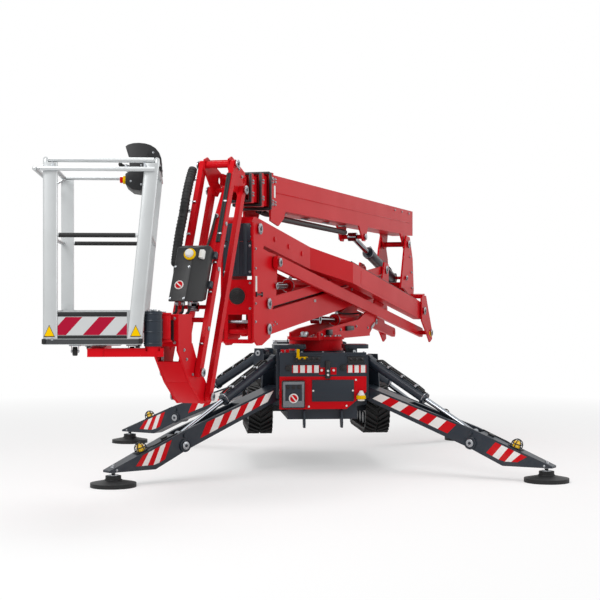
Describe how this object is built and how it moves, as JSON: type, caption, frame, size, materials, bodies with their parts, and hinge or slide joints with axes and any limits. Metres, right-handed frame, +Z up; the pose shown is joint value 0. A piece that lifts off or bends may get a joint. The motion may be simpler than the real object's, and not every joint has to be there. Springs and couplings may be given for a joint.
{
  "type": "spider lift",
  "caption": "Tracked spider lift on spread outriggers, with a double X riser, telescopic boom, hanging jib and side-mounted work basket.",
  "frame": {"origin": "floor under the middle of the machine as it stands with its legs spread", "axes": "+Z up, -Y the way the chassis control panel faces, +X to the right of somebody who faces that panel"},
  "size_m": [3.8101, 6.4262, 2.362],
  "materials": {
    "red_paint": "glossy red enamel",
    "dark_paint": "dark blue-grey enamel",
    "rubber": "black rubber",
    "plastic": "black moulded plastic",
    "aluminium": "brushed aluminium",
    "steel": "bright steel",
    "chrome": "polished rod",
    "lamp": "yellow lens",
    "engine": "dark iron"
  },
  "bodies": {
    "chassis": {"chassis_frame": "dark_paint", "front_panel": "red_paint", "controls": "dark_paint", "engine_hood": "dark_paint", "engine_block": "engine", "slew_ring": "red_paint", "track_frame_left": "dark_paint", "track_frame_right": "dark_paint", "track_left": "rubber", "track_right": "rubber"},
    "turret": {"turret": "red_paint"},
    "lower_arm": {"lower_arm": "red_paint"},
    "lower_tie": {"lower_tie": "red_paint"},
    "lower_ram_barrel": {"lower_ram_barrel": "red_paint"},
    "lower_ram_rod": {"lower_ram_rod": "chrome"},
    "mid_link": {"mid_link": "red_paint", "mid_cover": "dark_paint"},
    "upper_arm": {"upper_arm": "red_paint"},
    "upper_tie": {"upper_tie": "red_paint"},
    "upper_ram_barrel": {"upper_ram_barrel": "red_paint"},
    "upper_ram_rod": {"upper_ram_rod": "chrome"},
    "rear_link": {"rear_link": "red_paint"},
    "boom_outer": {"boom_outer": "red_paint", "hose_tube": "plastic"},
    "boom_middle": {"boom_middle": "red_paint"},
    "boom_inner": {"boom_inner": "red_paint"},
    "lift_barrel": {"lift_barrel": "dark_paint"},
    "lift_rod": {"lift_rod": "chrome"},
    "boom_head": {"boom_head": "red_paint"},
    "jib_front": {"jib_front": "red_paint", "jib_box": "plastic"},
    "jib_rear": {"jib_rear": "red_paint"},
    "jib_barrel": {"jib_barrel": "red_paint"},
    "jib_rod": {"jib_rod": "chrome"},
    "jib_link": {"jib_link": "red_paint", "rotator": "dark_paint"},
    "basket": {"basket_frame": "aluminium", "basket_floor": "aluminium", "basket_arm": "red_paint", "console": "plastic"},
    "leg_front_left": {"leg_front_left": "dark_paint", "foot_front_left": "rubber", "lamp_front_left": "lamp"},
    "leg_barrel_front_left": {"leg_barrel_front_left": "dark_paint"},
    "leg_rod_front_left": {"leg_rod_front_left": "chrome"},
    "leg_front_right": {"leg_front_right": "dark_paint", "foot_front_right": "rubber", "lamp_front_right": "lamp"},
    "leg_barrel_front_right": {"leg_barrel_front_right": "dark_paint"},
    "leg_rod_front_right": {"leg_rod_front_right": "chrome"},
    "leg_rear_left": {"leg_rear_left": "dark_paint", "foot_rear_left": "rubber", "lamp_rear_left": "lamp"},
    "leg_barrel_rear_left": {"leg_barrel_rear_left": "dark_paint"},
    "leg_rod_rear_left": {"leg_rod_rear_left": "chrome"},
    "leg_rear_right": {"leg_rear_right": "dark_paint", "foot_rear_right": "rubber", "lamp_rear_right": "lamp"},
    "leg_barrel_rear_right": {"leg_barrel_rear_right": "dark_paint"},
    "leg_rod_rear_right": {"leg_rod_rear_right": "chrome"}
  },
  "joints": [
    {"name": "slew", "type": "hinge", "parent": "chassis", "child": "turret", "pos_m": [0.10994, 0.02086, 1], "axis": [0, 0, 1], "range_deg": [-157.4, 202.6]},
    {"name": "lower_arm_hinge", "type": "hinge", "parent": "turret", "child": "lower_arm", "pos_m": [0.84011, 1.77496, 1.482], "axis": [-0.9232, 0.3843, 0], "range_deg": [0, 70]},
    {"name": "lower_tie_hinge", "type": "hinge", "parent": "turret", "child": "lower_tie", "pos_m": [0.84011, 1.77496, 1.668], "axis": [-0.9232, 0.3843, 0], "range_deg": [0, 70.2]},
    {"name": "mid_link_hinge", "type": "hinge", "parent": "lower_arm", "child": "mid_link", "pos_m": [-0.50185, -1.44889, 1.162], "axis": [-0.9232, 0.3843, 0], "range_deg": [-70.2, 0]},
    {"name": "lower_ram_tilt", "type": "hinge", "parent": "turret", "child": "lower_ram_barrel", "pos_m": [0.68639, 1.40567, 1.175], "axis": [0.9232, -0.3843, 0], "range_deg": [-76.11, 0]},
    {"name": "lower_ram_slide", "type": "slide", "parent": "lower_ram_barrel", "child": "lower_ram_rod", "axis": [-0.3842, -0.9229, 0.0267], "range_m": [0, 0.5137]},
    {"name": "upper_arm_hinge", "type": "hinge", "parent": "mid_link", "child": "upper_arm", "pos_m": [-0.57794, -1.63169, 1.885], "axis": [0.9232, -0.3843, 0], "range_deg": [0, 70]},
    {"name": "upper_tie_hinge", "type": "hinge", "parent": "mid_link", "child": "upper_tie", "pos_m": [-0.45113, -1.32703, 1.653], "axis": [0.9232, -0.3843, 0], "range_deg": [0, 70.2]},
    {"name": "rear_link_hinge", "type": "hinge", "parent": "upper_arm", "child": "rear_link", "pos_m": [1.24362, 2.74433, 1.262], "axis": [0.9232, -0.3843, 0], "range_deg": [-70.2, 0]},
    {"name": "upper_ram_tilt", "type": "hinge", "parent": "upper_arm", "child": "upper_ram_barrel", "pos_m": [0.20602, 0.25166, 1.5], "axis": [0.9232, -0.3843, 0], "range_deg": [0, 2.23]},
    {"name": "upper_ram_slide", "type": "slide", "parent": "upper_ram_barrel", "child": "upper_ram_rod", "axis": [-0.3843, -0.9231, -0.0126], "range_m": [0, 0.6165]},
    {"name": "boom_hinge", "type": "hinge", "parent": "rear_link", "child": "boom_outer", "pos_m": [1.16291, 2.55045, 1.945], "axis": [-0.9232, 0.3843, 0], "range_deg": [0, 75]},
    {"name": "lift_tilt", "type": "hinge", "parent": "rear_link", "child": "lift_barrel", "pos_m": [1.12448, 2.45813, 1.6], "axis": [0.9232, -0.3843, 0], "range_deg": [-69.04, 0]},
    {"name": "lift_slide", "type": "slide", "parent": "lift_barrel", "child": "lift_rod", "axis": [-0.3738, -0.8981, 0.2318], "range_m": [0, 0.3853]},
    {"name": "boom_middle_slide", "type": "slide", "parent": "boom_outer", "child": "boom_middle", "axis": [-0.3843, -0.9232, 0], "range_m": [0, 3.4]},
    {"name": "boom_inner_slide", "type": "slide", "parent": "boom_middle", "child": "boom_inner", "axis": [-0.3843, -0.9232, 0], "range_m": [0, 3.402]},
    {"name": "head_hinge", "type": "hinge", "parent": "boom_inner", "child": "boom_head", "pos_m": [-0.66633, -1.84403, 2.215], "axis": [-0.9232, 0.3843, 0], "range_deg": [-75.2, 0]},
    {"name": "jib_hinge", "type": "hinge", "parent": "boom_head", "child": "jib_front", "pos_m": [-0.76241, -2.07483, 2.305], "axis": [-0.9232, 0.3843, 0], "range_deg": [0, 90]},
    {"name": "jib_rear_hinge", "type": "hinge", "parent": "boom_head", "child": "jib_rear", "pos_m": [-0.69708, -1.91788, 2.14], "axis": [-0.9232, 0.3843, 0], "range_deg": [0, 90.2]},
    {"name": "jib_link_hinge", "type": "hinge", "parent": "jib_front", "child": "jib_link", "pos_m": [-1.00643, -2.66107, 0.91], "axis": [-0.9232, 0.3843, 0], "range_deg": [-90.2, 0]},
    {"name": "jib_tilt", "type": "hinge", "parent": "boom_head", "child": "jib_barrel", "pos_m": [-0.69708, -1.91788, 2.14], "axis": [0.9232, -0.3843, 0], "range_deg": [-82.68, 0]},
    {"name": "jib_slide", "type": "slide", "parent": "jib_barrel", "child": "jib_rod", "axis": [-0.232, -0.5573, -0.7972], "range_m": [0, 0.3022]},
    {"name": "basket_turn", "type": "hinge", "parent": "jib_link", "child": "basket", "pos_m": [-1.18667, -3.09405, 1.1], "axis": [0, 0, 1], "range_deg": [0, 135]},
    {"name": "leg_front_left_hinge", "type": "hinge", "parent": "chassis", "child": "leg_front_left", "pos_m": [-0.27006, -0.44414, 0.635], "axis": [-0.5736, 0.8192, 0], "range_deg": [0, 78]},
    {"name": "leg_front_left_ram_tilt", "type": "hinge", "parent": "chassis", "child": "leg_barrel_front_left", "pos_m": [-0.27006, -0.44414, 0.895], "axis": [-0.5736, 0.8192, 0], "range_deg": [0, 78.55]},
    {"name": "leg_front_left_ram_slide", "type": "slide", "parent": "leg_barrel_front_left", "child": "leg_rod_front_left", "axis": [-0.7051, -0.4937, -0.509], "range_m": [-0.3242, 0]},
    {"name": "leg_front_right_hinge", "type": "hinge", "parent": "chassis", "child": "leg_front_right", "pos_m": [0.48994, -0.44414, 0.635], "axis": [-0.5736, -0.8192, 0], "range_deg": [0, 78]},
    {"name": "leg_front_right_ram_tilt", "type": "hinge", "parent": "chassis", "child": "leg_barrel_front_right", "pos_m": [0.48994, -0.44414, 0.895], "axis": [-0.5736, -0.8192, 0], "range_deg": [0, 78.55]},
    {"name": "leg_front_right_ram_slide", "type": "slide", "parent": "leg_barrel_front_right", "child": "leg_rod_front_right", "axis": [0.7051, -0.4937, -0.509], "range_m": [-0.3242, 0]},
    {"name": "leg_rear_left_hinge", "type": "hinge", "parent": "chassis", "child": "leg_rear_left", "pos_m": [-0.27006, 1.03286, 0.635], "axis": [0.5736, 0.8192, 0], "range_deg": [0, 78]},
    {"name": "leg_rear_left_ram_tilt", "type": "hinge", "parent": "chassis", "child": "leg_barrel_rear_left", "pos_m": [-0.27006, 1.03286, 0.895], "axis": [0.5736, 0.8192, 0], "range_deg": [0, 78.55]},
    {"name": "leg_rear_left_ram_slide", "type": "slide", "parent": "leg_barrel_rear_left", "child": "leg_rod_rear_left", "axis": [-0.7051, 0.4937, -0.509], "range_m": [-0.3242, 0]},
    {"name": "leg_rear_right_hinge", "type": "hinge", "parent": "chassis", "child": "leg_rear_right", "pos_m": [0.48994, 1.03286, 0.635], "axis": [0.5736, -0.8192, 0], "range_deg": [0, 48]},
    {"name": "leg_rear_right_ram_tilt", "type": "hinge", "parent": "chassis", "child": "leg_barrel_rear_right", "pos_m": [0.48994, 1.03286, 0.895], "axis": [0.5736, -0.8192, 0], "range_deg": [0, 45.67]},
    {"name": "leg_rear_right_ram_slide", "type": "slide", "parent": "leg_barrel_rear_right", "child": "leg_rod_rear_right", "axis": [0.7051, 0.4937, -0.509], "range_m": [-0.2118, 0]}
  ],
  "couplings": [
    {"joint": "lower_tie_hinge", "follows": "lower_arm_hinge", "ratio": 1},
    {"joint": "mid_link_hinge", "follows": "lower_arm_hinge", "ratio": -1},
    {"joint": "lower_ram_tilt", "follows": "lower_arm_hinge", "ratio": -1.0845},
    {"joint": "lower_ram_slide", "follows": "lower_arm_hinge", "m_per_rad": 0.4188},
    {"joint": "upper_tie_hinge", "follows": "upper_arm_hinge", "ratio": 1},
    {"joint": "rear_link_hinge", "follows": "upper_arm_hinge", "ratio": -1},
    {"joint": "upper_ram_tilt", "follows": "upper_arm_hinge", "ratio": 0.029009},
    {"joint": "upper_ram_slide", "follows": "upper_arm_hinge", "m_per_rad": 0.50301},
    {"joint": "lift_tilt", "follows": "boom_hinge", "ratio": -0.91791},
    {"joint": "lift_slide", "follows": "boom_hinge", "m_per_rad": 0.29279},
    {"joint": "boom_inner_slide", "follows": "boom_middle_slide", "ratio": 1},
    {"joint": "head_hinge", "follows": "boom_hinge", "ratio": -1},
    {"joint": "jib_rear_hinge", "follows": "jib_hinge", "ratio": 1},
    {"joint": "jib_link_hinge", "follows": "jib_hinge", "ratio": -1},
    {"joint": "jib_tilt", "follows": "jib_hinge", "ratio": -0.91643},
    {"joint": "jib_slide", "follows": "jib_hinge", "m_per_rad": 0.19109},
    {"joint": "leg_front_left_ram_tilt", "follows": "leg_front_left_hinge", "ratio": 1.0045},
    {"joint": "leg_front_left_ram_slide", "follows": "leg_front_left_hinge", "m_per_rad": -0.2367},
    {"joint": "leg_front_right_ram_tilt", "follows": "leg_front_right_hinge", "ratio": 1.0045},
    {"joint": "leg_front_right_ram_slide", "follows": "leg_front_right_hinge", "m_per_rad": -0.2367},
    {"joint": "leg_rear_left_ram_tilt", "follows": "leg_rear_left_hinge", "ratio": 1.0045},
    {"joint": "leg_rear_left_ram_slide", "follows": "leg_rear_left_hinge", "m_per_rad": -0.2367},
    {"joint": "leg_rear_right_ram_tilt", "follows": "leg_rear_right_hinge", "ratio": 0.94734},
    {"joint": "leg_rear_right_ram_slide", "follows": "leg_rear_right_hinge", "m_per_rad": -0.25039}
  ]
}
